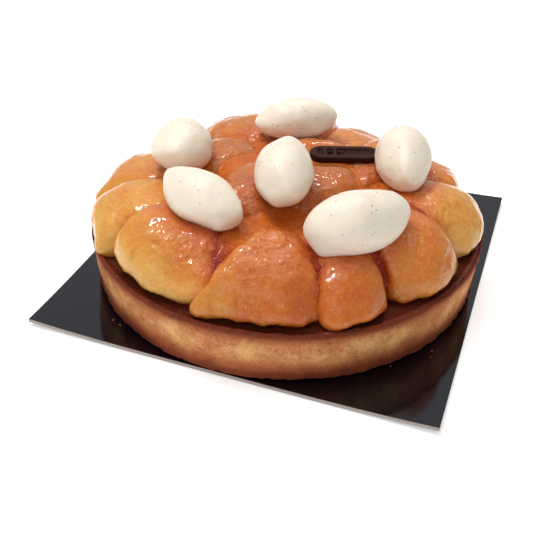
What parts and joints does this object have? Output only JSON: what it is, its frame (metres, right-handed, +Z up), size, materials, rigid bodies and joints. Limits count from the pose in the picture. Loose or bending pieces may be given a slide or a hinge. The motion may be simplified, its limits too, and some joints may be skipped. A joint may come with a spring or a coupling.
{
  "type": "tarte tatin",
  "caption": "Round open tart: a short-crust shell with dark caramel, heaped with glazed apple quarters, quenelles of vanilla cream and a plain chocolate bar, on a square black card.",
  "frame": {"origin": "on the tart's own axis, at the underside of the card it stands on", "axes": "+Z up; X and Y run along the sides of the square card, which sits 3.8 mm off the tart's axis towards +X"},
  "size_m": [0.2045, 0.2039, 0.0802],
  "materials": {
    "baked_crust": "sandy short-crust pastry, baked tan with golden patches and a darker rim, matte",
    "dark_caramel": "dark red-brown caramel, glossy and slightly bumpy",
    "glazed_apple": "cooked apple, translucent amber to golden yellow, coated with clear glaze",
    "vanilla_cream": "ivory whipped cream with fine vanilla specks, satin",
    "dark_chocolate": "tempered dark chocolate, satin",
    "black_card": "glossy black laminated cake card with a pale cut edge"
  },
  "bodies": {
    "root": {"apple_outer_01": "glazed_apple", "apple_outer_02": "glazed_apple", "apple_outer_03": "glazed_apple", "apple_outer_04": "glazed_apple", "apple_outer_05": "glazed_apple", "apple_outer_06": "glazed_apple", "apple_outer_07": "glazed_apple", "apple_outer_08": "glazed_apple", "apple_outer_09": "glazed_apple", "apple_outer_10": "glazed_apple", "apple_outer_11": "glazed_apple", "apple_outer_12": "glazed_apple", "apple_outer_13": "glazed_apple", "apple_inner_1": "glazed_apple", "apple_inner_2": "glazed_apple", "apple_inner_3": "glazed_apple", "apple_inner_4": "glazed_apple", "apple_inner_5": "glazed_apple", "cream_1": "vanilla_cream", "cream_2": "vanilla_cream", "cream_3": "vanilla_cream", "cream_4": "vanilla_cream", "cream_5": "vanilla_cream", "cream_6": "vanilla_cream", "chocolate": "dark_chocolate", "filling": "dark_caramel", "crust": "baked_crust", "card": "black_card"}
  },
  "joints": []
}
